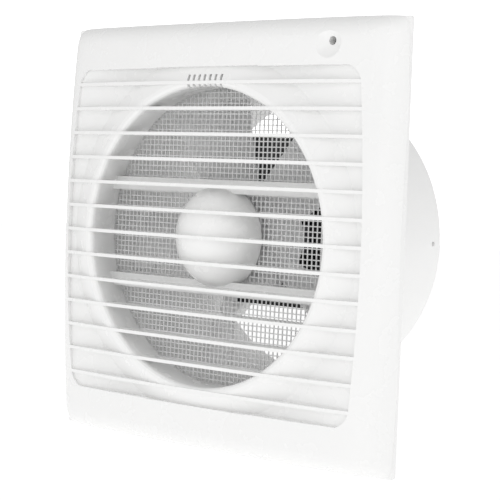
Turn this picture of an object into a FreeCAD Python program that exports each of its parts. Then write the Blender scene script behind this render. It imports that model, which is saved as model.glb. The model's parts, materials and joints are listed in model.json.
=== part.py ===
"""Square wall-mounted bathroom extractor fan for a 150 mm duct, in millimetres.

Row frame: the wall plane is y = 0 and the duct axis is the Y axis. The front faces -Y, the duct
spigot runs towards +Y into the wall, and +Z is up. The origin is where the duct axis meets the wall.
"""
import FreeCAD, Part
import math
import os
import re

V = FreeCAD.Vector

# ---------------------------------------------------------------- driving dimensions
DRIVING = {
    # front panel
    "panel_size": 205.0,          # width and height of the square front panel
    "panel_corner": 1.4,          # corner radius of its outline
    "front_depth": 23.6,          # crown of the front, measured from the wall
    "crown_side": 5.1,            # fall of the crown from the middle to the side crease
    "crown_end": 5.4,             # fall of the crown from the middle to the top and bottom edges
    "margin_fall": 12.8,          # fall of the side margins outside the crease
    "end_fall": 9.4,              # extra fall of the rounded top and bottom edges
    "panel_wall": 2.2,            # moulding thickness
    "rim_depth": 1.5,             # least depth of the rim, at the corners
    "floor_depth": "=front_depth - 8.6",      # depth of the recess floor behind the slats
    "recess_width": "=panel_size - 23",       # recess, at its widest
    "recess_height": "=panel_size - 44.5",
    "recess_bow": 4.1,            # how much the recess sides bulge
    "recess_corner": 9.3,
    "throat_radius": "=spigot_radius - 3",    # air opening
    "throat_back": 3.9,           # depth at which the throat wall ends
    "lip_depth": "=front_depth - 3.3",        # depth of the raised ring's lip
    "ring_radius": "=throat_radius + 16.1",   # foot of the raised ring on the recess floor
    "slat_count": 13,
    "slat_pitch": "=recess_height / 13.19",
    "slat_thickness": 1.6,
    "slat_back": "=front_depth - 11.3",       # depth of the slats' rear edges
    "dome_radius": 25.0,
    "dome_height": 17.4,
    "bar_inner": 21.0,            # the two cross bars: nearest and furthest distance from the axis
    "bar_outer": 27.5,
    "bar_front": 8.9,             # depth of the bars' front faces
    "slit_count": 7,
    "slit_pitch": 3.35,
    "slit_width": 1.45,
    "slit_top": "=throat_radius + 5.5",
    "screw_x": 70.3,              # panel screw hole, top right
    "screw_z": "=panel_size / 2 - 11.5",
    "screw_hole": 2.0,
    "dish_radius": 6.4,
    "dish_depth": 1.5,
    "post_radius": 3.0,
    # insect net
    "net_gap": 0.9,               # from the back of the throat to the net
    "net_thickness": 0.5,
    "net_frame_width": 1.4,
    # housing
    "flange_margin": 4.5,         # how far the panel stands past the wall flange
    "flange_thickness": 2.5,
    "upstand_height": 4.0,
    "upstand_wall": 2.0,
    "spigot_radius": 74.3,
    "spigot_length": 75.0,
    "spigot_wall": 2.0,
    "relief_depth": 0.5,     # shallow groove round the spigot in the flange back
    "relief_width": 1.0,
    "pivot_hole": 1.2,            # holes for an optional back-draught shutter
    "pivot_from_end": 6.3,
    "fixing_spacing": "=panel_size - 37",     # wall screw holes, square pattern
    "fixing_radius": 2.25,
    "spider_front": "=motor_front + stack_length + 2 * bracket_plate + 2 * bracket_reach",
    "spider_thickness": 4.0,      # motor support ring, behind the motor, and its struts
    "spider_radius": 26.0,
    "spider_bore": 9.0,
    "strut_depth": 8.0,
    "strut_thickness": 4.0,
    # motor
    "motor_front": "=hub_front + hub_length + 1.5",
    "stack_length": 15.0,
    "stack_half_width": 30.0,
    "stack_bottom": "=stator_bore + 21.3",
    "stack_top": 43.0,
    "leg_height": 12.0,
    "window_half_width": 19.0,
    "stator_bore": 13.2,
    "air_gap": 0.5,
    "bracket_plate": 2.0,
    "bracket_reach": 6.0,         # length of the bearing brackets' feet
    "bracket_half_height": 7.0,
    "bracket_half_width": 25.0,
    "foot_start": 17.0,
    "bush_radius": 5.0,
    "bush_length": 7.5,
    "boss_radius": 7.5,
    "shaft_radius": 2.5,
    "shaft_clearance": 0.03,
    "motor_screw_x": 21.0,
    "motor_screw_radius": 1.75,
    "screw_clearance": 0.1,
    "ring_wire": 1.5,             # copper shading rings
    "coil_depth": 7.2,            # how far the bobbin flanges stand off the leg
    "bobbin_wall": 1.0,
    # impeller
    "blade_count": 5,
    "blade_rest_angle": 58.0,
    "blade_thickness": 1.7,
    "tip_gap": 3.8,
    "hub_radius": 27.0,
    "hub_front": 5.0,
    "hub_length": 21.0,
    "hub_wall": 2.0,
    # mains connection
    "terminal_x": 66.0,
    "terminal_z": -72.0,
    "terminal_length": 24.0,
    "terminal_width": 12.0,
    "terminal_height": 6.6,
    "cable_x": 84.0,
    "cable_z": -46.0,
    "cable_radius": 3.6,
    "grommet_radius": 5.0,
    "clamp_z": -60.0,
    "cover_height": 8.0,
    "cover_wall": 1.2,
    "lead_radius": 0.9,
}

doc = FreeCAD.newDocument("extractor_fan")
sheet = doc.addObject("Spreadsheet::Sheet", "Sizes")
for row, alias in enumerate(DRIVING, start=1):
    sheet.set("A%d" % row, alias)
    sheet.setAlias("B%d" % row, alias)
for row, value in enumerate(DRIVING.values(), start=1):
    sheet.set("B%d" % row, str(value))
doc.recompute()


def size(alias):
    """A driving dimension, read back from the sheet."""
    return float(getattr(sheet, alias))


def cells(text):
    """Write an expression with every known alias pointing at the sheet."""
    def pointed(found):
        return "Sizes." + found[0] if found[0] in DRIVING else found[0]

    return re.sub(r"[a-z]+(_[a-z]+)+", pointed, str(text))


# ---------------------------------------------------------------- bound primitives
TURN = {
    "Y": FreeCAD.Rotation(V(1, 0, 0), -90),
    "X": FreeCAD.Rotation(V(0, 1, 0), 90),
    "Z": FreeCAD.Rotation(),
}


def bind(target, **expressions):
    for name, text in expressions.items():
        target.setExpression(name, cells(text))


def place(target, x, y, z):
    for axis, text in zip("xyz", (x, y, z)):
        target.setExpression("Placement.Base." + axis, cells(text))


def cylinder(radius, length, x="0", y="0", z="0", along="Y"):
    solid = doc.addObject("Part::Cylinder", "rod")
    solid.Placement = FreeCAD.Placement(V(), TURN[along])
    bind(solid, Radius=radius, Height=length)
    place(solid, x, y, z)
    return solid


def block(wide, deep, tall, x="0", y="0", z="0"):
    """A box centred on x and z that starts at y."""
    solid = doc.addObject("Part::Box", "block")
    bind(solid, Length=wide, Width=deep, Height=tall)
    place(solid, "(%s) - (%s) / 2" % (x, wide), y, "(%s) - (%s) / 2" % (z, tall))
    return solid


def united(*solids):
    joined = doc.addObject("Part::MultiFuse", "joined")
    joined.Shapes = list(solids)
    return joined


def cut(base, *tools):
    """The base with every tool taken out of it."""
    result = doc.addObject("Part::Cut", "cut")
    result.Base = base
    result.Tool = united(*tools) if len(tools) > 1 else tools[0]
    return result


def group(*solids):
    """Separate solids kept side by side in one node."""
    together = doc.addObject("Part::Compound", "group")
    together.Links = list(solids)
    return together


def tube(outer, inner, length, x="0", y="0", z="0"):
    return cut(cylinder(outer, length, x, y, z), cylinder(inner, length, x, y, z))


def shaped(shape, name="shaped"):
    """A piece whose form no primitive gives."""
    piece = doc.addObject("Part::Feature", name)
    piece.Shape = shape
    return piece


NODES = []


def node(label, piece):
    """Give a finished sub-part its node name."""
    piece.Label = label
    NODES.append(piece)
    return piece


def revolved(points):
    """Turn a closed (radius, y) outline about the duct axis."""
    corners = [V(radius, y, 0) for radius, y in points]
    outline = Part.makePolygon(corners + corners[:1])
    return Part.Face(outline).revolve(V(), V(0, 1, 0), 360)


def prism_y(wire, start, end):
    """Extrude an outline that lies in the XZ plane from y = start to y = end."""
    face = Part.Face(wire)
    face.translate(V(0, start, 0))
    return face.extrude(V(0, end - start, 0))


def box_between(low, high):
    return Part.makeBox(high[0] - low[0], high[1] - low[1], high[2] - low[2], V(*low))


# ---------------------------------------------------------------- front panel
def mirrored(half_points):
    """Poles of a symmetric profile from those of its positive half, the middle first."""
    return [(-at, depth) for at, depth in reversed(half_points[1:])] + list(half_points)


def front_surface(set_back):
    """Crowned front face: a side-to-side profile plus a top-to-bottom profile, moved back."""
    half = size("panel_size") / 2
    crown = size("front_depth") - set_back
    crease = crown - size("crown_side")
    across = [(half * at, crown - size("crown_side") * share)
              for at, share in ((0, 0), (0.27, 0.02), (0.53, 0.17), (0.75, 0.56), (0.88, 1.0))]
    across += [(half * at, crease - size("margin_fall") * share)
               for at, share in ((0.94, 0.32), (0.98, 0.76), (1.0, 1.15), (1.05, 2.2))]
    upright = [(half * at, -size("crown_end") * share)
               for at, share in ((0, -0.01), (0.33, 0.08), (0.67, 0.42), (0.87, 0.74),
                                 (0.94, 0.88), (0.98, 0.96), (1.0, 1.0), (1.04, 1.08))]
    rounding = [0, 0, 0, 0, 0, 0.35, 0.95, 2.4]
    across = mirrored(across)
    upright = mirrored(upright)
    rounding = rounding[:0:-1] + rounding
    poles = [[V(x, size("end_fall") * extra * max(depth / crown, 0) - (depth + fall), z)
              for (z, fall), extra in zip(upright, rounding)] for x, depth in across]

    def clamped(count):
        spans = count - 3
        return [4] + [1] * (spans - 1) + [4], [float(knot) for knot in range(spans + 1)]

    u_mults, u_knots = clamped(len(across))
    v_mults, v_knots = clamped(len(upright))
    surface = Part.BSplineSurface()
    surface.buildFromPolesMultsKnots(poles, u_mults, v_mults, u_knots, v_knots, False, False, 3, 3)
    return surface.toShape()


def behind_front(set_back):
    """Everything behind the crowned face."""
    return front_surface(set_back).extrude(V(0, 3 * size("front_depth"), 0))


def square_prism(half, corner, start, end):
    body = box_between((-half, start, -half), (half, end, half))
    if corner <= 0:
        return body
    upright = [edge for edge in body.Edges
               if abs(edge.Vertexes[0].X - edge.Vertexes[1].X) < 1e-6
               and abs(edge.Vertexes[0].Z - edge.Vertexes[1].Z) < 1e-6]
    return body.makeFillet(corner, upright)


def recess_outline(grow):
    """Barrel-shaped outline of the recess: flat top and bottom, bowed sides, round corners."""
    wide = size("recess_width") / 2 + grow
    tall = size("recess_height") / 2 + grow
    corner = size("recess_corner") + grow
    side = wide - size("recess_bow")
    low = tall - corner
    flat = side - corner * 0.7
    knee = corner * 0.29
    right = [
        Part.Arc(V(flat, 0, tall), V(side - knee, 0, tall - knee * 0.9), V(side, 0, low)).toShape(),
        Part.Arc(V(side, 0, low), V(wide, 0, 0), V(side, 0, -low)).toShape(),
        Part.Arc(V(side, 0, -low), V(side - knee, 0, -tall + knee * 0.9), V(flat, 0, -tall)).toShape(),
    ]
    bottom = Part.makeLine(V(flat, 0, -tall), V(-flat, 0, -tall))
    left = [
        Part.Arc(V(-flat, 0, -tall), V(-side + knee, 0, -tall + knee * 0.9), V(-side, 0, -low)).toShape(),
        Part.Arc(V(-side, 0, -low), V(-wide, 0, 0), V(-side, 0, low)).toShape(),
        Part.Arc(V(-side, 0, low), V(-side + knee, 0, tall - knee * 0.9), V(-flat, 0, tall)).toShape(),
    ]
    top = Part.makeLine(V(-flat, 0, tall), V(flat, 0, tall))
    return Part.Wire(right + [bottom] + left + [top])


def shell():
    """The crowned square moulding with its recess floor, before the throat is opened."""
    half = size("panel_size") / 2
    wall = size("panel_wall")
    deep = -2 * size("front_depth")
    floor = size("floor_depth")
    rim = square_prism(half, size("panel_corner"), -size("rim_depth"), 0)
    outer = behind_front(0).common(square_prism(half, size("panel_corner"), deep, 0)).fuse(rim)
    inside = behind_front(1.2 * wall).common(square_prism(half - wall, 0, deep, 1))
    kept_floor = prism_y(recess_outline(wall), deep, -(floor - wall))
    inside = inside.cut(kept_floor)
    recess = prism_y(recess_outline(0), deep, -floor)
    return outer.cut(inside).cut(recess)


def raised_ring():
    """Throat wall with its rounded lip and the slope down to the recess floor."""
    throat = size("throat_radius")
    back = -size("throat_back")
    wall = size("panel_wall")
    lip = -size("lip_depth")
    floor = -size("floor_depth")
    foot = size("ring_radius")
    rounded_lip = [(0, 2.2), (0.3, 1.1), (1.1, 0.3), (2.4, 0), (4.2, 0.25)]
    lap = 1.0             # how far the foot laps the floor, and how far its inside stops short
    short = 2.5
    outside = [(throat, back)] + [(throat + out, lip + down) for out, down in rounded_lip]
    outside += [(foot, floor), (foot + lap, floor)]
    inside = [(foot + lap, floor + wall), (foot - short, floor + wall)]
    inside += [(throat + 2 * wall, lip + 1.3 * wall), (throat + wall, lip + 1.7 * wall)]
    inside += [(throat + wall, back)]
    return revolved(outside + inside)


def slats():
    """Horizontal blades that follow the crowned front across the whole recess."""
    reach = size("panel_size")
    crown = 2 * size("front_depth")
    pitch = size("slat_pitch")
    thick = size("slat_thickness")
    middle = (size("slat_count") - 1) / 2
    room = behind_front(0).common(prism_y(recess_outline(0.4), -crown, -size("slat_back")))
    blades = []
    for index in range(int(size("slat_count"))):
        z = (index - middle) * pitch
        strip = box_between((-reach, -crown, z - thick / 2), (reach, 0, z + thick / 2))
        blades.append(room.common(strip))
    return blades


def dome():
    """Central cap, and the stepped hollow inside it, open at the back."""
    base = -size("throat_back")
    radius, height = size("dome_radius"), size("dome_height")
    oval = Part.Ellipse(V(0, base, 0), radius, height)
    edge = Part.ArcOfEllipse(oval, 1.5 * math.pi, 2 * math.pi).toShape()
    outline = Part.Wire([edge, Part.makeLine(V(radius, base, 0), V(0, base, 0)),
                         Part.makeLine(V(0, base, 0), V(0, base - height, 0))])
    full = Part.Face(outline).revolve(V(), V(0, 1, 0), 360)
    wall = size("panel_wall")
    steps = [math.radians(angle) for angle in (0, 18, 36, 54, 72)]
    inside = [((radius - wall) * math.cos(turn), base - (height - wall) * math.sin(turn)) for turn in steps]
    hollow = revolved([(0, base + 1), (radius - wall, base + 1)] + inside + [(0, inside[-1][1])])
    return full, hollow


def through_panel(radius, x=0, z=0):
    """A rod of this radius through the whole panel."""
    reach = 3 * size("front_depth")
    return Part.makeCylinder(radius, reach, V(x, -reach, z), V(0, 1, 0))


def cross_bars():
    """Two straight bars that carry the dome across the throat."""
    reach = math.sqrt(size("throat_radius") ** 2 - size("bar_inner") ** 2) + size("panel_wall") / 2
    front = -size("bar_front")
    back = -size("throat_back")
    upper = box_between((-reach, front, size("bar_inner")), (reach, back, size("bar_outer")))
    lower = box_between((-reach, front, -size("bar_outer")), (reach, back, -size("bar_inner")))
    room = through_panel(size("throat_radius") + size("panel_wall") / 2)
    return upper.common(room), lower.common(room)


def ring_slits():
    """Short upright slits through the top of the raised ring."""
    count = int(size("slit_count"))
    bottom = size("throat_radius") - 2
    depth_to_lip = size("lip_depth") + 3
    slits = []
    for index in range(count):
        x = (index - (count - 1) / 2) * size("slit_pitch")
        slits.append(box_between((x - size("slit_width") / 2, -depth_to_lip, bottom),
                                 (x + size("slit_width") / 2, -size("floor_depth") - 1, size("slit_top"))))
    return slits


def depth_at(x, z):
    """Depth of the crowned front at one point."""
    ray = Part.makeLine(V(x, -3 * size("front_depth"), z), V(x, 0, z))
    return -ray.common(behind_front(0)).BoundBox.YMin


SOCKET_HEIGHT = 4.0       # screw boss and peg sockets on the flange
CORNER_TRIM = 0.6         # flange corners end this share of the panel's side from the axis
SOCKET_WALL = 1.5
PEG_CLEARANCE = 0.1


def post_places():
    """The screw post at the top right, then the three push-in pegs."""
    x = size("screw_x")
    z = size("screw_z")
    return [(x, z), (-x, z), (-x, -z), (x, -z)]


def posts():
    """Screw post and pegs that stand behind the panel's margins."""
    roots = behind_front(size("panel_wall"))
    socket_face = -size("flange_thickness") - SOCKET_HEIGHT
    made = []
    for index, (x, z) in enumerate(post_places()):
        foot = socket_face if index == 0 else -size("flange_thickness")
        reach = 2 * size("front_depth")
        rod = Part.makeCylinder(size("post_radius"), reach, V(x, foot - reach, z), V(0, 1, 0))
        made.append(rod.common(roots))
    return made


def front_panel():
    throat = through_panel(size("throat_radius") + 6)
    in_recess = prism_y(recess_outline(0.3), -2 * size("front_depth"), 1)
    under_ring = through_panel(size("ring_radius") - 1)
    frame = shell().cut(throat).cut(under_ring.common(in_recess))
    ring = raised_ring().common(in_recess).cut(Part.makeCompound(ring_slits()))
    full_dome, hollow = dome()
    upper, lower = cross_bars()
    inside = slats() + [full_dome, upper, lower]
    panel = frame.fuse([ring] + inside + posts())
    panel = panel.cut(hollow)
    x, z = size("screw_x"), size("screw_z")
    depth = depth_at(x, z)
    hole = through_panel(size("screw_hole"), x, z)
    dish_ball = (size("dish_radius") ** 2 + size("dish_depth") ** 2) / (2 * size("dish_depth"))
    dish = Part.makeSphere(dish_ball, V(x, -depth - dish_ball + size("dish_depth"), z))
    panel = panel.cut(hole).cut(dish)
    return panel.removeSplitter()


node("front_panel", shaped(front_panel(), "front_panel_shape"))


# ---------------------------------------------------------------- insect net
def insect_net():
    """A disc in its stiffening frame, seated on the back of the throat wall."""
    frame = tube("throat_radius + panel_wall", "throat_radius + panel_wall - net_frame_width",
                 "net_gap + net_thickness", y="-throat_back")
    disc = cylinder("throat_radius + panel_wall - net_frame_width / 2", "net_thickness",
                    y="-throat_back + net_gap")
    return united(frame, disc)


node("insect_net", insect_net())


# ---------------------------------------------------------------- housing
FLANGE_HALF = "(panel_size / 2 - flange_margin)"
STRUT_ANGLES = (45, 135, 225, 315)
LEAD_SIDE = 4.5           # sideways distance from the lower right strut to the pair of leads
LEAD_GAP = 2.2
COVER_SCREW_X = "60"      # the wiring cover's screw
COVER_SCREW_Z = "-61"
COVER_THREAD = "1.3"


def along_strut(radial, side):
    """Position beside the lower right strut: distance from the axis, and sideways from the strut."""
    turn = math.radians(-45)
    x = radial * math.cos(turn) - side * math.sin(turn)
    z = radial * math.sin(turn) + side * math.cos(turn)
    return x, z


def lead_notch():
    """Notch in the flange where the leads cross into the airway."""
    notch = box_between((size("spigot_radius") - 3, -size("flange_thickness") - 1, LEAD_SIDE - 2.7),
                        (size("spigot_radius") + 6, 0, LEAD_SIDE + 2.7))
    notch.rotate(V(), V(0, 1, 0), 45)
    return notch


def wall_flange():
    """Square plate with a stiffening upstand, peg sockets, screw boss, cover post and holes."""
    plate = "-flange_thickness"
    upstand_face = "-flange_thickness - upstand_height"
    upstand_half = "(%s - upstand_wall)" % FLANGE_HALF
    flange = block("2 * " + FLANGE_HALF, "flange_thickness", "2 * " + FLANGE_HALF, y=plate)
    upstand = cut(block("2 * " + FLANGE_HALF, "upstand_height", "2 * " + FLANGE_HALF, y=upstand_face),
                  block("2 * " + upstand_half, "upstand_height", "2 * " + upstand_half, y=upstand_face))
    airway = cylinder("spigot_radius - spigot_wall", "flange_thickness", y=plate)
    relief = cylinder("spigot_radius + relief_width", "relief_depth", y="-relief_depth")
    sockets = []
    socket_bores = []
    socket_face = "-flange_thickness - %g" % SOCKET_HEIGHT
    for index, (side_x, side_z) in enumerate((("", ""), ("-", ""), ("-", "-"), ("", "-"))):
        x = side_x + "screw_x"
        z = side_z + "screw_z"
        bore = "screw_hole * 0.7" if index == 0 else "post_radius + %g" % PEG_CLEARANCE
        sockets.append(cylinder("post_radius + %g" % SOCKET_WALL, SOCKET_HEIGHT, x, socket_face, z))
        socket_bores.append(cylinder(bore, SOCKET_HEIGHT, x, socket_face, z))
    fixings = [cylinder("fixing_radius", "flange_thickness", side_x + "fixing_spacing / 2", plate,
                        side_z + "fixing_spacing / 2") for side_x in ("", "-") for side_z in ("", "-")]
    cable_hole = cylinder("grommet_radius", "flange_thickness", "cable_x", plate, "cable_z")
    post_face = "-flange_thickness - cover_height + cover_wall"
    cover_post = cylinder("post_radius", "cover_height - cover_wall", COVER_SCREW_X, post_face, COVER_SCREW_Z)
    cover_thread = cylinder(COVER_THREAD, "cover_height - cover_wall", COVER_SCREW_X, post_face,
                            COVER_SCREW_Z)
    corners = cut(cylinder("1.5 * panel_size", "panel_size", y="-panel_size / 2"),
                  cylinder("%g * panel_size" % CORNER_TRIM, "panel_size", y="-panel_size / 2"))
    return cut(united(flange, upstand, cover_post, *sockets), airway, relief, corners, cover_thread,
               cable_hole, shaped(lead_notch(), "lead_notch"), *(fixings + socket_bores))


def spigot_tube():
    """Tube that enters the duct, with pivot holes for an optional back-draught shutter."""
    pivots = cylinder("pivot_hole", "3 * spigot_radius", "-1.5 * spigot_radius",
                      "spigot_length - pivot_from_end", "0", along="X")
    return cut(tube("spigot_radius", "spigot_radius - spigot_wall", "spigot_length + relief_depth",
                    y="-relief_depth"), pivots)


def struts():
    """Radial struts from the motor ring to the spigot's inner wall."""
    airway = size("spigot_radius") - size("spigot_wall")
    front = size("spider_front")
    depth = size("strut_depth")
    half = size("strut_thickness") / 2
    made = []
    for angle in STRUT_ANGLES:
        strut = box_between((size("spider_bore"), front, -half), (airway + half, front + depth, half))
        strut.rotate(V(), V(0, 1, 0), -angle)
        made.append(strut)
    hollow = Part.makeCylinder(airway, depth, V(0, front, 0), V(0, 1, 0))
    core = Part.makeCylinder(size("spider_radius") - 2, depth, V(0, front, 0), V(0, 1, 0))
    return Part.makeCompound(made).common(hollow).cut(core)


def motor_spider():
    """Ring that carries the motor, held in the airway by four struts."""
    ring = cylinder("spider_radius", "spider_thickness", y="spider_front")
    centre = cylinder("spider_bore", "spider_thickness", y="spider_front")
    screw_bores = [cylinder("motor_screw_radius + screw_clearance / 2", "spider_thickness",
                            x=side + "motor_screw_x", y="spider_front") for side in ("", "-")]
    return cut(united(ring, shaped(struts(), "struts")), centre, *screw_bores)


node("wall_flange", wall_flange())
node("spigot_tube", spigot_tube())
node("motor_spider", motor_spider())


# ---------------------------------------------------------------- motor, fixed parts
STACK_FRONT = "(motor_front + bracket_plate + bracket_reach)"
STACK_BACK = "(motor_front + bracket_plate + bracket_reach + stack_length)"
LEG_MIDDLE = "(stack_top - leg_height / 2)"
SHADE_X = 15.5            # the two shading rings, diagonally opposite beside the bore
SHADE_NEAR = 9.5
SHADE_FAR = 14.5


def shade_slot(x, z):
    return block("ring_wire", "stack_length", "ring_wire", x=x, y=STACK_FRONT, z=z)


def stator_core():
    """Laminated C-shaped stack: rotor bore below, window and coil leg above."""
    body = block("2 * stack_half_width", "stack_length", "stack_top + stack_bottom",
                 y=STACK_FRONT, z="(stack_top - stack_bottom) / 2")
    bore = cylinder("stator_bore", "stack_length", y=STACK_FRONT)
    window_low = "(stator_bore + 4.3)"
    window_high = "(stack_top - leg_height)"
    window = block("2 * window_half_width", "stack_length", "%s - %s" % (window_high, window_low),
                   y=STACK_FRONT, z="(%s + %s) / 2" % (window_high, window_low))
    holes = [cylinder("motor_screw_radius + screw_clearance", "stack_length", side + "motor_screw_x",
                      STACK_FRONT) for side in ("", "-")]
    slots = [shade_slot(turn * SHADE_X, turn * z) for turn in (1, -1) for z in (SHADE_NEAR, SHADE_FAR)]
    return cut(body, bore, window, *(holes + slots))


def shading_rings():
    rings = []
    for turn in (1, -1):
        bars = [shade_slot(turn * SHADE_X, turn * z) for z in (SHADE_NEAR, SHADE_FAR)]
        for y in (STACK_FRONT + " - ring_wire", STACK_BACK):
            bars.append(block("ring_wire", "ring_wire", "%g + ring_wire" % (SHADE_FAR - SHADE_NEAR),
                              x=turn * SHADE_X, y=y, z=turn * (SHADE_NEAR + SHADE_FAR) / 2))
        rings.append(united(*bars))
    return group(*rings)


def around_leg(width, reach, hollow):
    """A square sleeve about the coil leg, standing off the leg by reach, hollow inside."""
    y_middle = "(%s + stack_length / 2)" % STACK_FRONT

    def layer(stand_off, wide):
        deep = "(stack_length + 2 * (%s))" % stand_off
        tall = "(leg_height + 2 * (%s))" % stand_off
        return block(wide, deep, tall, y="%s - %s / 2" % (y_middle, deep), z=LEG_MIDDLE)

    return cut(layer(reach, width), layer(hollow, width))


def coil_bobbin():
    sleeve = around_leg("2 * window_half_width - 2", "bobbin_wall + 0.2", "0.2")
    flanges = []
    for side in (1, -1):
        flange = around_leg("bobbin_wall", "coil_depth", "0.2")
        place_x = "%d * (window_half_width - 1 - bobbin_wall / 2)" % side
        flange.setExpression("Placement.Base.x", cells(place_x))
        flanges.append(flange)
    return united(sleeve, *flanges)


def bearing_bracket(plate_y, feet_y, boss_y):
    plate = block("2 * bracket_half_width", "bracket_plate", "2 * bracket_half_height", y=plate_y)
    feet = [block("bracket_half_width - foot_start", "bracket_reach", "2 * bracket_half_height",
                  x=side + "(bracket_half_width + foot_start) / 2", y=feet_y) for side in ("", "-")]
    boss = cylinder("boss_radius", "bush_length", y=boss_y)
    bush_seat = cylinder("bush_radius", "2 * bush_length", y=boss_y + " - bush_length / 2")
    holes = [cylinder("motor_screw_radius + screw_clearance", "30", side + "motor_screw_x", plate_y + " - 10")
             for side in ("", "-")]
    return cut(united(plate, boss, *feet), bush_seat, *holes)


FRONT_BUSH = "(motor_front + bracket_plate - bush_length)"
REAR_PLATE = "(%s + bracket_reach)" % STACK_BACK


def motor_screws():
    """Two long screws that hold the motor to its support ring, with slotted heads at the back."""
    screws = []
    seat = "spider_front + spider_thickness"
    for side in ("", "-"):
        x = side + "motor_screw_x"
        shank = cylinder("motor_screw_radius", seat + " - motor_front - 0.5", x, "motor_front + 0.5")
        head = cylinder("1.8 * motor_screw_radius", "2.4", x, seat)
        slot = block("4 * motor_screw_radius", "0.9", "0.8", x, seat + " + 1.5")
        screws.append(cut(united(shank, head), slot))
    return group(*screws)


node("stator_core", stator_core())
node("shading_rings", shading_rings())
node("coil_bobbin", coil_bobbin())
node("coil_winding", around_leg("2 * window_half_width - 2 - 2 * bobbin_wall", "coil_depth - 1.4",
                                "bobbin_wall + 0.2"))
node("coil_tape", around_leg("2 * window_half_width - 4 - 2 * bobbin_wall", "coil_depth - 1",
                             "coil_depth - 1.4"))
node("front_bearing_bracket", bearing_bracket("motor_front", "motor_front + bracket_plate", FRONT_BUSH))
node("rear_bearing_bracket", bearing_bracket(REAR_PLATE, STACK_BACK, REAR_PLATE))
node("front_bush", tube("bush_radius", "shaft_radius + shaft_clearance", "bush_length", y=FRONT_BUSH))
node("rear_bush", tube("bush_radius", "shaft_radius + shaft_clearance", "bush_length", y=REAR_PLATE))
node("motor_screws", motor_screws())

# ---------------------------------------------------------------- rotating parts
ROTOR_RADIUS = "(stator_bore - air_gap)"
END_RING = 2.0            # length of each aluminium end ring
END_PLAY = 0.4            # gap between each spacer and its bearing
SHAFT_START = "(hub_front - 2.5)"
SHAFT_END = "(%s + bush_length + 1)" % REAR_PLATE


def rotor_end_rings():
    rings = [tube(ROTOR_RADIUS + " - 0.4", "shaft_radius", END_RING, y=y)
             for y in (STACK_FRONT + " + 0.5 - %g" % END_RING, STACK_BACK + " - 0.5")]
    return group(*rings)


def rotor_spacers():
    front_start = "(motor_front + bracket_plate + %g)" % END_PLAY
    front_end = "(%s + 0.5 - %g)" % (STACK_FRONT, END_RING)
    rear_start = "(%s - 0.5 + %g)" % (STACK_BACK, END_RING)
    rear_end = "(%s - %g)" % (REAR_PLATE, END_PLAY)
    return group(*[tube("bush_radius - 0.5", "shaft_radius", "%s - %s" % (end, start), y=start)
                   for start, end in ((front_start, front_end), (rear_start, rear_end))])


def blade_section(radius, chord, pitch, camber):
    """Closed outline of the blade in the plane x = radius: two arcs and two ends."""
    turn = math.radians(pitch)
    half = size("blade_thickness") / 2
    middle = size("hub_front") + size("hub_length") / 2

    def point(share, offset):
        along = share * chord
        bulge = camber * (1 - 4 * share * share) + offset
        return V(radius, middle + along * math.sin(turn) - bulge * math.cos(turn),
                 -along * math.cos(turn) - bulge * math.sin(turn))

    front = Part.Arc(point(-0.5, half), point(0, half), point(0.5, half)).toShape()
    trailing = Part.makeLine(point(0.5, half), point(0.5, -half))
    back = Part.Arc(point(0.5, -half), point(0, -half), point(-0.5, -half)).toShape()
    leading = Part.makeLine(point(-0.5, -half), point(-0.5, half))
    return Part.Wire([front, trailing, back, leading])


def blades():
    tip = size("spigot_radius") - size("spigot_wall") - size("tip_gap")
    hub = size("hub_radius")
    length = size("hub_length") - 1.5
    sections = []
    root = hub - 6
    for radius, pitch, camber in ((root, 50, 2.0), ((hub + tip) / 2, 37, 3.0), (tip + 4, 28, 3.6)):
        sections.append(blade_section(radius, length / math.sin(math.radians(pitch)), pitch, camber))
    blade = Part.makeLoft(sections, True, False)
    start = size("hub_front") - 5
    span = size("hub_length") + 10
    limit = Part.makeCylinder(tip, span, V(0, start, 0), V(0, 1, 0))
    core = Part.makeCylinder(hub - size("hub_wall") / 2, span, V(0, start, 0), V(0, 1, 0))
    blade = blade.common(limit).cut(core)
    count = int(size("blade_count"))
    made = []
    for index in range(count):
        turned = blade.copy()
        turned.rotate(V(), V(0, 1, 0), 90 - size("blade_rest_angle") + index * 360 / count)
        made.append(turned)
    return made


BOSS_SHORT = 6.0          # how far the hub's boss stops short of the cup's rear edge


def hub():
    """Cup with a rounded nose and a central boss for the shaft."""
    outer = size("hub_radius")
    wall = size("hub_wall")
    start = size("hub_front")
    end = start + size("hub_length")
    boss = size("shaft_radius") + 3.5
    nose = 5.0
    slant = nose * (1 - math.sqrt(0.5))
    outline = [
        (size("shaft_radius"), start), (outer - nose, start), (outer - slant, start + slant),
        (outer, start + nose), (outer, end), (outer - wall, end), (outer - wall, start + nose),
        (outer - wall - slant, start + wall + slant / 2), (outer - nose - wall / 2, start + wall),
        (boss, start + wall), (boss, end - BOSS_SHORT), (size("shaft_radius"), end - BOSS_SHORT),
    ]
    return revolved(outline)


def impeller():
    return hub().fuse(blades()).removeSplitter()


node("shaft", cylinder("shaft_radius", "%s - %s" % (SHAFT_END, SHAFT_START), y=SHAFT_START))
node("rotor_core", tube(ROTOR_RADIUS, "shaft_radius", "stack_length - 1", y=STACK_FRONT + " + 0.5"))
node("rotor_end_rings", rotor_end_rings())
node("rotor_spacers", rotor_spacers())
node("impeller", shaped(impeller(), "impeller_shape"))
node("impeller_clip", tube("shaft_radius + 3", "shaft_radius", "0.8", y="hub_front - 0.8"))

# ---------------------------------------------------------------- mains connection
WELLS = (-8, 0, 8)        # the three terminals along the block
WELL_RADIUS = 2.3
TERMINAL_SCREW = 1.9
BOARD = "-flange_thickness"


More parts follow.
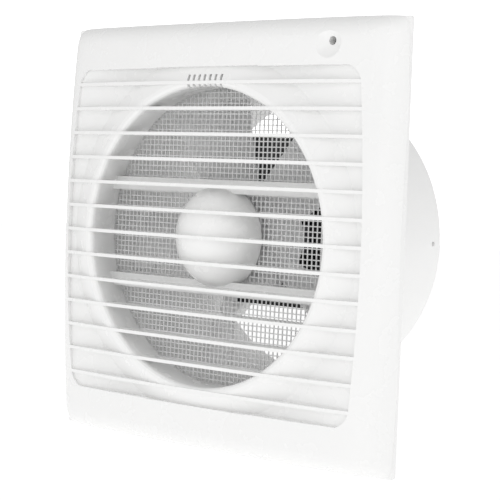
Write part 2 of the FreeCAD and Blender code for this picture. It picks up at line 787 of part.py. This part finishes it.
def terminal_block():
    front = "(-flange_thickness - terminal_height)"
    body = block("terminal_length", "terminal_height", "terminal_width", "terminal_x", front, "terminal_z")
    wells = [cylinder(WELL_RADIUS, "terminal_height - 2.5", "terminal_x + %g" % at, front, "terminal_z")
             for at in WELLS]
    grooves = [block("0.8", "2", "terminal_width", "terminal_x + %g" % at, front, "terminal_z")
               for at in (-4, 4)]
    return cut(body, *(wells + grooves))


def terminal_screws():
    made = []
    for at in WELLS:
        x = "terminal_x + %g" % at
        barrel = cylinder(TERMINAL_SCREW, "2.6", x, "-flange_thickness - 5.1", "terminal_z")
        slot = block("5", "0.8", "0.7", x, "-flange_thickness - 5.1", "terminal_z")
        made.append(cut(barrel, slot))
    return group(*made)


def cable_grommet():
    """Rubber ring in the flange hole, with a lip on the room side."""
    sleeve = tube("grommet_radius", "cable_radius", "flange_thickness", "cable_x", BOARD, "cable_z")
    lip = tube("grommet_radius + 0.5", "cable_radius", "1.2", "cable_x", "-flange_thickness - 1.2", "cable_z")
    return united(sleeve, lip)


CLAMP_REACH = 4.0         # clamp screws, each side of the cable
CLAMP_TOP = 3.6
CLAMP_SCREW = 0.9


def cable_clamp():
    front = "-flange_thickness - %g" % CLAMP_TOP
    bar = block("%g" % (2 * CLAMP_REACH + 4.4), CLAMP_TOP, "5", "cable_x", front, "clamp_z")
    arch = block("3.6", "2", "5", "cable_x", "-flange_thickness - 2", "clamp_z")
    holes = [cylinder(CLAMP_SCREW + 0.1, CLAMP_TOP, "cable_x + %g" % at, front, "clamp_z")
             for at in (-CLAMP_REACH, CLAMP_REACH)]
    return cut(bar, arch, *holes)


def clamp_screws():
    made = []
    for at in (-CLAMP_REACH, CLAMP_REACH):
        x = "cable_x + %g" % at
        shank = cylinder(CLAMP_SCREW, CLAMP_TOP, x, "-flange_thickness - %g" % CLAMP_TOP, "clamp_z")
        head = cylinder(CLAMP_SCREW + 0.8, "1.4", x, "-flange_thickness - %g" % (CLAMP_TOP + 1.4), "clamp_z")
        slot = block("5", "0.6", "0.6", x, "-flange_thickness - %g" % (CLAMP_TOP + 1.4), "clamp_z")
        made.append(cut(united(shank, head), slot))
    return group(*made)


COVER_LEFT = "(terminal_x - terminal_length / 2 - 1.5)"
COVER_RIGHT = "(cable_x + grommet_radius + 2.7)"
COVER_BOTTOM = "(terminal_z - terminal_width / 2 - 1.2)"
COVER_TOP = "(cable_z + grommet_radius + 2.5)"


def wiring_cover():
    """Shallow lid over the mains connection, open towards the airway side."""
    middle_x = "(%s + %s) / 2" % (COVER_LEFT, COVER_RIGHT)
    middle_z = "(%s + %s) / 2" % (COVER_BOTTOM, COVER_TOP)
    wide = "(%s - %s)" % (COVER_RIGHT, COVER_LEFT)
    tall = "(%s - %s)" % (COVER_TOP, COVER_BOTTOM)
    front = "-flange_thickness - cover_height"
    outer = block(wide, "cover_height", tall, middle_x, front, middle_z)
    inner = block(wide + " - 2 * cover_wall", "cover_height", tall + " - 2 * cover_wall",
                  middle_x, front + " + cover_wall", middle_z)
    airway = cylinder("spigot_radius + 2.7", "2 * panel_size", y="-panel_size")
    hole = cylinder(COVER_THREAD + " + 0.2", "2 * panel_size", COVER_SCREW_X, "-panel_size", COVER_SCREW_Z)
    return cut(outer, inner, airway, hole)


def cover_screw():
    front = "-flange_thickness - cover_height"
    shank = cylinder(COVER_THREAD + " - 0.05", "cover_height - 2", COVER_SCREW_X, front, COVER_SCREW_Z)
    head = cylinder("2.6", "1.6", COVER_SCREW_X, front + " - 1.6", COVER_SCREW_Z)
    slots = [block("3.2", "1", "0.7", COVER_SCREW_X, front + " - 1.6", COVER_SCREW_Z),
             block("0.7", "1", "3.2", COVER_SCREW_X, front + " - 1.6", COVER_SCREW_Z)]
    return cut(united(shank, head), *slots)


def lead(index):
    """One insulated lead from the terminals, past the strut, to the coil."""
    shift = (index - 0.5) * LEAD_GAP
    side = LEAD_SIDE + shift
    radius = size("lead_radius")
    flange = size("flange_thickness")
    wall = size("spigot_radius") - size("spigot_wall") - radius - 0.4
    behind = size("spider_front") + 3
    beside = size("spider_front") - size("bracket_plate") - 2.5
    block_top = size("terminal_z") + size("terminal_width") / 2
    start_x = size("terminal_x") + 2 + index * 5
    coil_side = size("window_half_width") - 1
    turn_in = size("spider_radius") + 6 + 3 * index
    clear = size("stack_half_width") + 3.2 + index * LEAD_GAP
    route = [V(start_x, -flange - 3.5, block_top), V(start_x, -flange - 3.5, block_top + 3 + index)]
    outside = size("spigot_radius")
    crossing = -flange / 2 - 0.75 * size("relief_depth")
    for radial, y in ((outside + 5.5, -flange - 3.5), (outside + 3.5, crossing), (wall, crossing),
                      (wall, behind), (turn_in, behind), (turn_in, beside)):
        x, z = along_strut(radial, side)
        route.append(V(x, y, z))
    coil_z = size("stack_top") - size("leg_height") / 2 - 10 + index * 3.2
    route += [V(clear, beside, -12), V(clear, beside, coil_z - 8), V(coil_side + 5, beside, coil_z),
              V(coil_side, beside, coil_z)]
    pieces = []
    for first, last in zip(route, route[1:]):
        step = last - first
        pieces.append(Part.makeCylinder(radius, step.Length, first, step))
    pieces += [Part.makeSphere(radius, corner) for corner in route[1:-1]]
    return pieces[0].fuse(pieces[1:])


node("terminal_block", terminal_block())
node("terminal_screws", terminal_screws())
node("cable_grommet", cable_grommet())
node("cable_clamp", cable_clamp())
node("cable_clamp_screws", clamp_screws())
node("wiring_cover", wiring_cover())
node("wiring_cover_screw", cover_screw())
node("live_lead", shaped(lead(0), "live_lead_shape"))
node("neutral_lead", shaped(lead(1), "neutral_lead_shape"))

# ---------------------------------------------------------------- check and write
doc.recompute()
for item in doc.Objects:
    if "Invalid" in item.State or "Error" in item.State:
        raise RuntimeError("%s (%s) failed to compute" % (item.Name, item.Label))
os.makedirs("parts", exist_ok=True)
for piece in NODES:
    if piece.Shape.isNull() or not piece.Shape.isValid():
        raise RuntimeError(piece.Label + " has no valid shape")
    piece.Shape.exportStep("parts/%s.step" % piece.Label)
    print("%-24s %2d solid(s) %12.1f mm3" % (piece.Label, len(piece.Shape.Solids), piece.Shape.Volume))
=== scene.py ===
"""Bathroom extractor fan: looks, net mesh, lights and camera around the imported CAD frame.

Everything is in metres in the frame's own axes: the front faces -Y and +Z is up.
"""
import json
import math

import bmesh
import bpy
from mathutils import Matrix, Vector


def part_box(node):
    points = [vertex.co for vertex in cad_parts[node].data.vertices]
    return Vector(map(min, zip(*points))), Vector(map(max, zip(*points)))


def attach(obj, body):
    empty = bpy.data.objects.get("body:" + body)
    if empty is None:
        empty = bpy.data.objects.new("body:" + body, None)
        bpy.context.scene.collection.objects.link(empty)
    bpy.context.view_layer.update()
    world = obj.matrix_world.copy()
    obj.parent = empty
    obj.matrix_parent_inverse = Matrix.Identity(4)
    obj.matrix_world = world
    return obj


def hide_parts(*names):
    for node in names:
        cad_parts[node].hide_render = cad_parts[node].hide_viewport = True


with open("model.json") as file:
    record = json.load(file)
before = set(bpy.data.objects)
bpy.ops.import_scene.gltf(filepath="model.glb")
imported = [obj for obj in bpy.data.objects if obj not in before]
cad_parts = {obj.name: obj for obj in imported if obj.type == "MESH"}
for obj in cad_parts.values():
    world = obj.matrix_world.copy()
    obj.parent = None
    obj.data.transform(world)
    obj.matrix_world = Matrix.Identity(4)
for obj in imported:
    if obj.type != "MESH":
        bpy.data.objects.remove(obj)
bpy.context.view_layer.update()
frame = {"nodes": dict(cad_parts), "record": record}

FAN = "fan_body"


# ---------------------------------------------------------------- material building
def new_material(name):
    """A node material with its shader, and the tree's node maker."""
    material = bpy.data.materials.new(name)
    material.use_nodes = True
    tree = material.node_tree
    tree.nodes.clear()
    output = tree.nodes.new("ShaderNodeOutputMaterial")
    shader = tree.nodes.new("ShaderNodeBsdfPrincipled")
    tree.links.new(shader.outputs["BSDF"], output.inputs["Surface"])
    return material, tree, shader


def object_space(tree, scale=(1, 1, 1)):
    """Coordinates in metres, stretched along each axis."""
    coordinates = tree.nodes.new("ShaderNodeTexCoord")
    mapping = tree.nodes.new("ShaderNodeMapping")
    mapping.inputs["Scale"].default_value = scale
    tree.links.new(coordinates.outputs["Object"], mapping.inputs["Vector"])
    return mapping.outputs["Vector"]


def noise(tree, vector, scale, detail=3.0, roughness=0.5):
    """Soft random pattern; scale is in patches per metre."""
    texture = tree.nodes.new("ShaderNodeTexNoise")
    texture.inputs["Scale"].default_value = scale
    texture.inputs["Detail"].default_value = detail
    texture.inputs["Roughness"].default_value = roughness
    tree.links.new(vector, texture.inputs["Vector"])
    return texture.outputs["Fac"]


def ramp(tree, factor, low, high, start=0.35, end=0.65):
    """Colour ramp between two colours."""
    node = tree.nodes.new("ShaderNodeValToRGB")
    node.color_ramp.elements[0].position = start
    node.color_ramp.elements[0].color = (*low, 1)
    node.color_ramp.elements[1].position = end
    node.color_ramp.elements[1].color = (*high, 1)
    tree.links.new(factor, node.inputs["Fac"])
    return node.outputs["Color"]


def spread(tree, factor, low, high):
    """Map a 0-1 factor onto a range."""
    node = tree.nodes.new("ShaderNodeMapRange")
    node.inputs["To Min"].default_value = low
    node.inputs["To Max"].default_value = high
    tree.links.new(factor, node.inputs["Value"])
    return node.outputs["Result"]


def bump(tree, shader, height, depth, strength=1.0, under=None):
    """Raise the surface by depth metres where height is 1."""
    node = tree.nodes.new("ShaderNodeBump")
    node.inputs["Strength"].default_value = strength
    node.inputs["Distance"].default_value = depth
    tree.links.new(height, node.inputs["Height"])
    if under:
        tree.links.new(under, node.inputs["Normal"])
    tree.links.new(node.outputs["Normal"], shader.inputs["Normal"])
    return node.outputs["Normal"]


def stripes(tree, vector, scale, axis):
    """Fine parallel ridges across one axis."""
    wave = tree.nodes.new("ShaderNodeTexWave")
    wave.wave_type = "BANDS"
    wave.bands_direction = axis
    wave.inputs["Scale"].default_value = scale
    tree.links.new(vector, wave.inputs["Vector"])
    return wave.outputs["Fac"]


def moulded(name, colour, shade=0.96, gloss=0.3, spread_gloss=0.06, grain=2400, depth=0.00002,
            inner_light=0.0, coat=0.0):
    """Injection-moulded plastic: faint cloudiness, uneven gloss and a fine surface grain."""
    material, tree, shader = new_material(name)
    vector = object_space(tree)
    cloud = noise(tree, vector, 24, 4)
    darker = tuple(channel * shade for channel in colour)
    tree.links.new(ramp(tree, cloud, darker, colour), shader.inputs["Base Color"])
    tree.links.new(spread(tree, noise(tree, vector, 90, 5), gloss - spread_gloss, gloss + spread_gloss),
                   shader.inputs["Roughness"])
    flow = bump(tree, shader, noise(tree, vector, 60, 2), depth * 2, 0.25)
    bump(tree, shader, noise(tree, vector, grain, 2), depth, 0.35, flow)
    shader.inputs["IOR"].default_value = 1.5
    shader.inputs["Coat Weight"].default_value = coat
    shader.inputs["Coat Roughness"].default_value = 0.12
    if inner_light:
        shader.inputs["Subsurface Weight"].default_value = inner_light
        shader.inputs["Subsurface Radius"].default_value = (0.004, 0.004, 0.004)
        shader.inputs["Subsurface Scale"].default_value = 0.5
    return material


def metal(name, colour, dark, gloss=0.35, spread_gloss=0.12, scale=(1, 1, 1), grain=500, depth=0.00002):
    """Metal with uneven tarnish; scale stretches the grain along one axis to look drawn or ground."""
    material, tree, shader = new_material(name)
    vector = object_space(tree, scale)
    marks = noise(tree, vector, grain, 6, 0.6)
    tree.links.new(ramp(tree, marks, dark, colour, 0.3, 0.7), shader.inputs["Base Color"])
    wear = noise(tree, vector, grain / 3, 4)
    tree.links.new(spread(tree, wear, gloss - spread_gloss, gloss + spread_gloss),
                   shader.inputs["Roughness"])
    shader.inputs["Metallic"].default_value = 1.0
    bump(tree, shader, marks, depth, 0.4)
    return material


def laminations(name, oxide=(0.022, 0.022, 0.025), worn=(0.07, 0.068, 0.068)):
    """Stacked steel sheets: ridges across the stack and blued, oily edges."""
    material, tree, shader = new_material(name)
    vector = object_space(tree)
    sheets = stripes(tree, vector, 320, "Y")
    tone = noise(tree, object_space(tree, (1, 8, 1)), 220, 4)
    tree.links.new(ramp(tree, tone, oxide, worn), shader.inputs["Base Color"])
    tree.links.new(spread(tree, noise(tree, vector, 150, 4), 0.38, 0.62), shader.inputs["Roughness"])
    shader.inputs["Metallic"].default_value = 0.85
    bump(tree, shader, sheets, 0.00012, 0.8)
    return material


def enamelled_wire(name):
    """Fine copper turns under enamel."""
    material, tree, shader = new_material(name)
    vector = object_space(tree)
    tree.links.new(ramp(tree, noise(tree, vector, 300, 3), (0.22, 0.07, 0.025), (0.46, 0.17, 0.06)),
                   shader.inputs["Base Color"])
    tree.links.new(spread(tree, noise(tree, vector, 500, 2), 0.22, 0.36), shader.inputs["Roughness"])
    shader.inputs["Metallic"].default_value = 0.8
    shader.inputs["Coat Weight"].default_value = 0.6
    turns = bump(tree, shader, stripes(tree, vector, 480, "X"), 0.0001, 0.8)
    bump(tree, shader, noise(tree, vector, 1500, 2), 0.00002, 0.4, turns)
    return material


def wrapped_tape(name, colour):
    """Glossy tape in overlapping turns about the coil."""
    material, tree, shader = new_material(name)
    vector = object_space(tree)
    darker = tuple(channel * 0.6 for channel in colour)
    tree.links.new(ramp(tree, noise(tree, vector, 160, 4), darker, colour), shader.inputs["Base Color"])
    tree.links.new(spread(tree, noise(tree, vector, 240, 4), 0.28, 0.46), shader.inputs["Roughness"])
    laps = bump(tree, shader, stripes(tree, vector, 55, "X"), 0.0002, 0.6)
    bump(tree, shader, noise(tree, vector, 900, 3), 0.00003, 0.4, laps)
    return material


def insulation(name, colour):
    """PVC lead insulation."""
    return moulded(name, colour, 0.8, 0.42, 0.08, 1800, 0.00002)


WHITE = (0.89, 0.89, 0.885)
BUILDERS = {
    "white_moulding": lambda n: moulded(n, WHITE, 0.994, 0.27, 0.03, 2600, 0.00001, 0.0, 0.15),
    "white_net": lambda n: moulded(n, (0.88, 0.88, 0.88), 0.97, 0.45, 0.08, 3000, 0.00001),
    "white_housing": lambda n: moulded(n, (0.89, 0.89, 0.885), 0.99, 0.36, 0.04, 2000, 0.000015),
    "white_impeller": lambda n: moulded(n, (0.91, 0.91, 0.91), 0.985, 0.36, 0.04, 2000, 0.000012),
    "lamination_steel": laminations,
    "copper": lambda n: metal(n, (0.80, 0.42, 0.26), (0.52, 0.22, 0.12), 0.35),
    "nylon_natural": lambda n: moulded(n, (0.72, 0.68, 0.56), 0.92, 0.46, 0.07, 1600, 0.00002, 0.08),
    "copper_enamel": enamelled_wire,
    "black_tape": lambda n: wrapped_tape(n, (0.05, 0.05, 0.052)),
    "zinc_casting": lambda n: metal(n, (0.20, 0.20, 0.21), (0.11, 0.11, 0.12), 0.5, 0.12,
                                    grain=380, depth=0.00005),
    "sintered_bronze": lambda n: metal(n, (0.52, 0.38, 0.20), (0.30, 0.21, 0.11), 0.55, 0.12,
                                       grain=1400, depth=0.00004),
    "plated_steel": lambda n: metal(n, (0.78, 0.79, 0.80), (0.58, 0.59, 0.58), 0.26, 0.1, grain=700),
    "ground_steel": lambda n: metal(n, (0.68, 0.69, 0.71), (0.5, 0.51, 0.53), 0.24, 0.08, (1, 12, 1), 260),
    "cast_aluminium": lambda n: metal(n, (0.72, 0.73, 0.75), (0.5, 0.51, 0.52), 0.45, 0.12,
                                      grain=420, depth=0.00005),
    "brass_terminal": lambda n: metal(n, (0.80, 0.62, 0.28), (0.56, 0.40, 0.15), 0.3, 0.1, grain=600),
    "black_rubber": lambda n: moulded(n, (0.035, 0.035, 0.035), 0.6, 0.62, 0.1, 1500, 0.00003),
    "brown_insulation": lambda n: insulation(n, (0.16, 0.055, 0.02)),
    "blue_insulation": lambda n: insulation(n, (0.03, 0.11, 0.42)),
}
MATERIALS = {slot: build("mat_" + slot) for slot, build in BUILDERS.items()}
SLOTS = {part["node"]: part["material_slot"] for part in frame["record"]["subparts"]}

for name, node in frame["nodes"].items():
    node.data.materials.clear()
    node.data.materials.append(MATERIALS[SLOTS[name]])


# ---------------------------------------------------------------- pieces
def add_piece(name, mesh, slot, body=FAN):
    """An object for this mesh, riding on its body and wearing its slot's material."""
    piece = bpy.data.objects.new(name, mesh)
    bpy.context.scene.collection.objects.link(piece)
    mesh.materials.append(MATERIALS[slot])
    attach(piece, body)
    return piece


def add_box(work, low, high):
    """An axis-aligned bar, added to a bmesh."""
    middle = [(a + b) / 2 for a, b in zip(low, high)]
    extent = [b - a for a, b in zip(low, high)]
    place = Matrix.Translation(middle) @ Matrix.Diagonal((*extent, 1))
    bmesh.ops.create_cube(work, size=1, matrix=place)


def revolve(work, profile, steps=128):
    """Closed ring: turn a (radius, y) outline about the duct axis."""
    rings = []
    for index in range(steps):
        angle = 2 * math.pi * index / steps
        rings.append([work.verts.new((r * math.cos(angle), y, r * math.sin(angle))) for r, y in profile])
    for ring, after in zip(rings, rings[1:] + rings[:1]):
        for a in range(len(profile)):
            b = (a + 1) % len(profile)
            work.faces.new((ring[a], ring[b], after[b], after[a]))


NET_PITCH = 0.00257       # between neighbouring wires
NET_WIRE = 0.00052        # width of a wire
NET_DEEP = 0.0005         # depth of a wire
NET_FRAME = 0.0014        # width of the ring around the net
NET_EASE = 0.0003         # bevel on the ring's edges
WIRE_LAP = 0.0004         # how far a wire runs into the ring
UPRIGHT_SINK = 0.08       # share of the depth by which uprights and cross wires stand apart


def insect_net():
    """Moulded square net inside its stiffening frame."""
    low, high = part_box("insect_net")
    outer = (high[0] - low[0]) / 2
    rim = outer - NET_FRAME
    front, back = low[1], high[1]
    work = bmesh.new()
    count = int(rim / NET_PITCH)
    for index in range(-count, count + 1):
        at = index * NET_PITCH
        reach = math.sqrt(max((rim + WIRE_LAP) ** 2 - at * at, 0))
        half = NET_WIRE / 2
        sink = NET_DEEP * UPRIGHT_SINK
        add_box(work, (at - half, back - NET_DEEP, -reach), (at + half, back - sink, reach))
        add_box(work, (-reach, back - NET_DEEP + sink, at - half), (reach, back, at + half))
    ease = NET_EASE
    revolve(work, [(rim, front + ease), (rim + ease, front), (outer - ease, front), (outer, front + ease),
                   (outer, back - ease), (outer - ease, back), (rim + ease, back), (rim, back - ease)])
    bmesh.ops.recalc_face_normals(work, faces=work.faces)
    mesh = bpy.data.meshes.new("net_mesh")
    work.to_mesh(mesh)
    work.free()
    piece = add_piece("net_mesh", mesh, "white_net")
    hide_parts("insect_net")
    return piece


insect_net()


# ---------------------------------------------------------------- stage, lights and camera
FLOOR_Z = -0.19
FLOOR_SIDE = 8
FLOOR_GLOW = 0.4
BACKDROP_RADIUS = 9
BACKDROP_GLOW = 1.0
PAPER = (0.9, 0.9, 0.9)


def plain(name, colour, glow):
    """Pale matt paper that is lit evenly."""
    material, tree, shader = new_material(name)
    vector = object_space(tree)
    darker = tuple(channel * 0.985 for channel in colour)
    tree.links.new(ramp(tree, noise(tree, vector, 3, 2), darker, colour), shader.inputs["Base Color"])
    shader.inputs["Roughness"].default_value = 0.8
    shader.inputs["Emission Color"].default_value = (1, 1, 1, 1)
    shader.inputs["Emission Strength"].default_value = glow
    return material


def add_stage():
    """A pale floor, and a white backdrop all round that only the camera sees."""
    bpy.ops.mesh.primitive_plane_add(size=FLOOR_SIDE, location=(0, 0, FLOOR_Z))
    floor = bpy.context.object
    floor.name = "floor"
    floor.data.materials.append(plain("mat_floor", PAPER, FLOOR_GLOW))
    bpy.ops.mesh.primitive_uv_sphere_add(radius=BACKDROP_RADIUS, segments=48, ring_count=24)
    backdrop = bpy.context.object
    backdrop.name = "backdrop"
    backdrop.data.materials.append(plain("mat_backdrop", PAPER, BACKDROP_GLOW))
    backdrop.visible_diffuse = False
    backdrop.visible_glossy = False
    backdrop.visible_transmission = False
    backdrop.visible_shadow = False


def towards(azimuth, elevation, distance):
    """A place at this angle from the object: azimuth 0 is in front, 90 on the right."""
    across, up = math.radians(azimuth), math.radians(elevation)
    level = math.cos(up)
    return Vector((math.sin(across) * level, -math.cos(across) * level, math.sin(up))) * distance


def add_softbox(name, azimuth, elevation, distance, wide, tall, power):
    """A rectangular light aimed at the origin; lengths in metres, power in watts."""
    light = bpy.data.lights.new(name, "AREA")
    light.shape = "RECTANGLE"
    light.size = wide
    light.size_y = tall
    light.energy = power
    lamp = bpy.data.objects.new(name, light)
    lamp.location = towards(azimuth, elevation, distance)
    lamp.rotation_euler = (-lamp.location).to_track_quat("-Z", "Y").to_euler()
    bpy.context.scene.collection.objects.link(lamp)


def add_world(strength):
    """Even white light from all round."""
    world = bpy.data.worlds.new("studio")
    world.use_nodes = True
    background = world.node_tree.nodes["Background"]
    background.inputs["Color"].default_value = (1, 1, 1, 1)
    background.inputs["Strength"].default_value = strength
    bpy.context.scene.world = world


VIEW_AZIMUTH = math.radians(38.84)
VIEW_ELEVATION = math.radians(2.82)
VIEW_ROLL = math.radians(2.10)
VIEW_DISTANCE = 0.7091
VIEW_TARGET = Vector((0.01508, 0, -0.00541))
VIEW_LENS = 107.01
SENSOR_WIDTH = 36
CLIP_START = 0.01


def add_camera():
    """Camera at the viewing angle, with its slight roll."""
    back = Vector((math.sin(VIEW_AZIMUTH) * math.cos(VIEW_ELEVATION),
                   -math.cos(VIEW_AZIMUTH) * math.cos(VIEW_ELEVATION), math.sin(VIEW_ELEVATION)))
    side = Vector((0, 0, 1)).cross(back).normalized()
    over = back.cross(side)
    right = side * math.cos(VIEW_ROLL) + over * math.sin(VIEW_ROLL)
    up = over * math.cos(VIEW_ROLL) - side * math.sin(VIEW_ROLL)
    camera = bpy.data.objects.new("camera", bpy.data.cameras.new("camera"))
    camera.data.sensor_width = SENSOR_WIDTH
    camera.data.lens = VIEW_LENS
    camera.data.clip_start = CLIP_START
    turn = Matrix((right, up, back)).transposed().to_4x4()
    camera.matrix_world = Matrix.Translation(VIEW_TARGET + back * VIEW_DISTANCE) @ turn
    bpy.context.scene.collection.objects.link(camera)
    bpy.context.scene.camera = camera


AMBIENT = 0.68
SOFTBOXES = (
    # name, azimuth, elevation, distance, wide, tall, power
    ("key", 44, 30, 1.5, 2.2, 0.9, 2.8),
    ("side", 78, 2, 1.6, 1.4, 1.2, 2.4),
    ("low", 40, -26, 1.5, 1.6, 0.8, 3.2),
    ("fill", -20, 6, 1.8, 1.4, 1.4, 3.2),
)

add_stage()
add_world(AMBIENT)
for softbox in SOFTBOXES:
    add_softbox(*softbox)
add_camera()
bpy.context.scene.view_settings.view_transform = "Standard"
